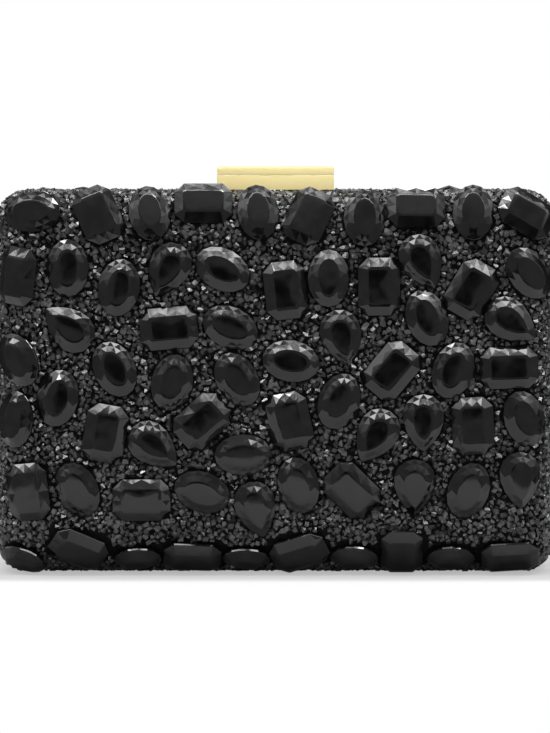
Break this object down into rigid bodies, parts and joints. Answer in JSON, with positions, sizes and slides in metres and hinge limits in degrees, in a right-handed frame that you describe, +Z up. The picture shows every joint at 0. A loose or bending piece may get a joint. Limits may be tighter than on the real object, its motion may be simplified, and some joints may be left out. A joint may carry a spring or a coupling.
{
  "type": "evening clutch",
  "caption": "Hard box clutch in two hinged halves, its granule covers set with large faceted stones, with a gold-tone lever clasp on top.",
  "frame": {"origin": "middle of the flat base, on the surface that the clutch stands on", "axes": "+X to the right seen from the front, -Y towards the front, +Z up to the clasp"},
  "size_m": [0.174, 0.0606, 0.1262],
  "materials": {
    "jewelled_cover": "black glassy granules with large faceted black stones",
    "moulded_shell": "moulded board",
    "satin_lining": "black satin",
    "gold_metal": "pale satin gold plating",
    "steel": "bright spring steel"
  },
  "bodies": {
    "rear_half": {"rear_cover": "jewelled_cover", "rear_shell": "moulded_shell", "rear_lining": "satin_lining", "rear_pocket": "satin_lining", "rear_frame": "gold_metal", "left_rear_hinge_leaf": "gold_metal", "right_rear_hinge_leaf": "gold_metal", "left_hinge_pin": "steel", "right_hinge_pin": "steel", "rear_hinge_rivet_1": "gold_metal", "rear_hinge_rivet_2": "gold_metal", "rear_hinge_rivet_3": "gold_metal", "rear_hinge_rivet_4": "gold_metal", "clasp_bracket": "gold_metal", "bracket_rivet_1": "gold_metal", "bracket_rivet_2": "gold_metal", "clasp_pin": "steel", "clasp_spring": "steel"},
    "front_half": {"front_cover": "jewelled_cover", "front_shell": "moulded_shell", "front_lining": "satin_lining", "front_frame": "gold_metal", "left_front_hinge_leaf": "gold_metal", "right_front_hinge_leaf": "gold_metal", "front_hinge_rivet_1": "gold_metal", "front_hinge_rivet_2": "gold_metal", "front_hinge_rivet_3": "gold_metal", "front_hinge_rivet_4": "gold_metal", "clasp_catch": "gold_metal", "catch_rivet_1": "gold_metal", "catch_rivet_2": "gold_metal", "catch_spring": "steel"},
    "clasp_lever": {"clasp_lever": "gold_metal"}
  },
  "joints": [
    {"name": "shell_hinge", "type": "hinge", "parent": "rear_half", "child": "front_half", "pos_m": [0, 0, 0.0018], "axis": [1, 0, 0], "range_deg": [0, 90], "deforming": ["catch_spring"]},
    {"name": "clasp_lift", "type": "hinge", "parent": "rear_half", "child": "clasp_lever", "pos_m": [0, 0.0055, 0.1218], "axis": [-1, 0, 0], "range_deg": [0, 20], "stiffness_Nm_per_rad": 0.05, "springref_deg": -11.46, "deforming": ["clasp_spring"]}
  ]
}
